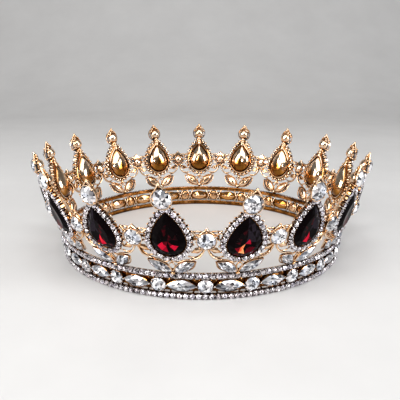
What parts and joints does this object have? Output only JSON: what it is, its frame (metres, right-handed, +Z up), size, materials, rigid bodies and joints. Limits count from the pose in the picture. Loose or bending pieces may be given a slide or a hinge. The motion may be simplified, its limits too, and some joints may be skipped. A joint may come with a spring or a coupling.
{
  "type": "crown",
  "caption": "Rigid round crown of gilt metal: a jewelled band of two rails under flared spires with red pear stones in rhinestone halos, round crystals on top and crystal links between them.",
  "frame": {"origin": "centre of the base circle, on the plane that the crown rests on", "axes": "+Z is up along the crown's axis, +Y points at the middle of spire_01, and spires count from there towards +X"},
  "size_m": [0.1622, 0.1616, 0.0509],
  "materials": {
    "setting_gold": "polished warm gold plating on cast zinc alloy",
    "rail_gold": "polished warm gold plating on a formed strip",
    "clear_crystal": "faceted foil-backed clear crystal",
    "rhinestone": "small faceted clear stones in silvery claws",
    "ruby_crystal": "faceted foil-backed dark ruby red crystal"
  },
  "bodies": {
    "root": {"lower_rail": "rail_gold", "lower_rhinestone_chain": "rhinestone", "upper_rail": "rail_gold", "upper_rhinestone_chain": "rhinestone", "band_gallery": "setting_gold", "band_crystal_row": "clear_crystal", "spire_01": "setting_gold", "ruby_01": "ruby_crystal", "link_01": "setting_gold", "spire_02": "setting_gold", "ruby_02": "ruby_crystal", "link_02": "setting_gold", "spire_03": "setting_gold", "ruby_03": "ruby_crystal", "link_03": "setting_gold", "spire_04": "setting_gold", "ruby_04": "ruby_crystal", "link_04": "setting_gold", "spire_05": "setting_gold", "ruby_05": "ruby_crystal", "link_05": "setting_gold", "spire_06": "setting_gold", "ruby_06": "ruby_crystal", "link_06": "setting_gold", "spire_07": "setting_gold", "ruby_07": "ruby_crystal", "link_07": "setting_gold", "spire_08": "setting_gold", "ruby_08": "ruby_crystal", "link_08": "setting_gold", "spire_09": "setting_gold", "ruby_09": "ruby_crystal", "link_09": "setting_gold", "spire_10": "setting_gold", "ruby_10": "ruby_crystal", "link_10": "setting_gold", "spire_11": "setting_gold", "ruby_11": "ruby_crystal", "link_11": "setting_gold", "spire_12": "setting_gold", "ruby_12": "ruby_crystal", "link_12": "setting_gold", "spire_13": "setting_gold", "ruby_13": "ruby_crystal", "link_13": "setting_gold", "spire_14": "setting_gold", "ruby_14": "ruby_crystal", "link_14": "setting_gold", "spire_15": "setting_gold", "ruby_15": "ruby_crystal", "link_15": "setting_gold", "spire_16": "setting_gold", "ruby_16": "ruby_crystal", "link_16": "setting_gold", "spire_17": "setting_gold", "ruby_17": "ruby_crystal", "link_17": "setting_gold"}
  },
  "joints": []
}
